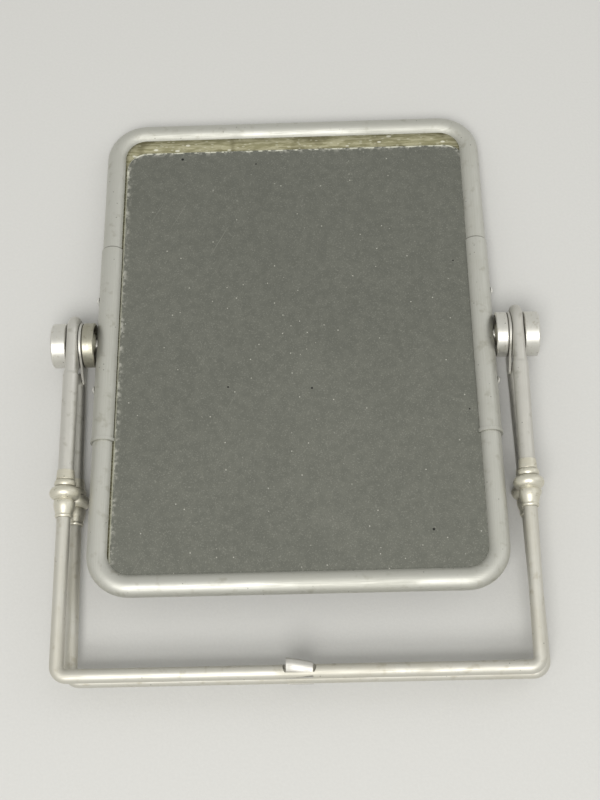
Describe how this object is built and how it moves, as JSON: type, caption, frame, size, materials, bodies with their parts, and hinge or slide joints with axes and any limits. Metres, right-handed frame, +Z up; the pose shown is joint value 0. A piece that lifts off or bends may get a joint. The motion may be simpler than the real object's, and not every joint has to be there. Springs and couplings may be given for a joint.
{
  "type": "extending shaving mirror",
  "caption": "Rectangular shaving mirror in a rolled metal rim, pivoted between two U-shaped telescoping stand frames that fold flat against each other and spread into a standing A.",
  "frame": {"origin": "middle of the folded mirror's footprint, on the surface that it lies on", "axes": "+X to the right along the pivot axis, +Y from the base bars towards the mirror's top edge, +Z up, out of the glass"},
  "size_m": [0.2028, 0.2521, 0.0247],
  "materials": {
    "rim_metal": "satin, dulled nickel",
    "arm_metal": "satin, worn nickel tube",
    "base_metal": "satin, slightly creamy worn nickel tube",
    "turned_metal": "fine turning marks, bright",
    "spring_metal": "rolled spring strip",
    "back_metal": "plain zinc-grey sheet",
    "brass": "plain brass",
    "card": "yellowed grey card",
    "mirror": "old silvered glass, dull, dusty"
  },
  "bodies": {
    "rear_stand": {"rear_left_arm": "arm_metal", "rear_left_ferrule": "turned_metal", "rear_right_arm": "arm_metal", "rear_right_ferrule": "turned_metal"},
    "rear_base": {"rear_base_bar": "base_metal", "rear_guide_plugs": "brass"},
    "clip": {"latch_clip": "spring_metal"},
    "front_stand": {"front_left_arm": "arm_metal", "front_left_ferrule": "turned_metal", "front_right_arm": "arm_metal", "front_right_ferrule": "turned_metal"},
    "front_base": {"front_base_bar": "base_metal", "front_guide_plugs": "brass"},
    "mirror_head": {"upper_rim": "rim_metal", "lower_rim": "rim_metal", "mirror_glass": "mirror", "backing_card": "card", "back_plate": "back_metal", "sleeve_screws": "turned_metal", "left_sleeve": "rim_metal", "left_pivot_stud": "turned_metal", "left_friction_cup": "turned_metal", "left_cone_spring": "spring_metal", "left_washer": "turned_metal", "right_sleeve": "rim_metal", "right_pivot_stud": "turned_metal", "right_friction_cup": "turned_metal", "right_cone_spring": "spring_metal", "right_washer": "turned_metal"},
    "left_knob": {"left_knob": "turned_metal"},
    "right_knob": {"right_knob": "turned_metal"}
  },
  "joints": [
    {"name": "mirror_tilt", "type": "hinge", "parent": "rear_stand", "child": "mirror_head", "pos_m": [0, 0.01598, 0.01235], "axis": [1, 0, 0], "continuous": true},
    {"name": "front_fold", "type": "hinge", "parent": "rear_stand", "child": "front_stand", "pos_m": [0, 0.01598, 0.01235], "axis": [-1, 0, 0], "range_deg": [0, 62]},
    {"name": "front_extension", "type": "slide", "parent": "front_stand", "child": "front_base", "axis": [-0.0061, -0.9998, -0.018], "range_m": [0, 0.042]},
    {"name": "rear_extension", "type": "slide", "parent": "rear_stand", "child": "rear_base", "axis": [0.0175, -0.9997, 0.018], "range_m": [0, 0.042]},
    {"name": "clip_swing", "type": "hinge", "parent": "rear_base", "child": "clip", "pos_m": [0, -0.12313, 0.0074], "axis": [-1, 0, 0], "range_deg": [0, 90]},
    {"name": "left_knob_turn", "type": "hinge", "parent": "mirror_head", "child": "left_knob", "pos_m": [-0.09463, 0.01598, 0.01235], "axis": [-1, 0, 0], "range_deg": [0, 120]},
    {"name": "right_knob_turn", "type": "hinge", "parent": "mirror_head", "child": "right_knob", "pos_m": [0.09463, 0.01598, 0.01235], "axis": [1, 0, 0], "range_deg": [0, 120]}
  ]
}
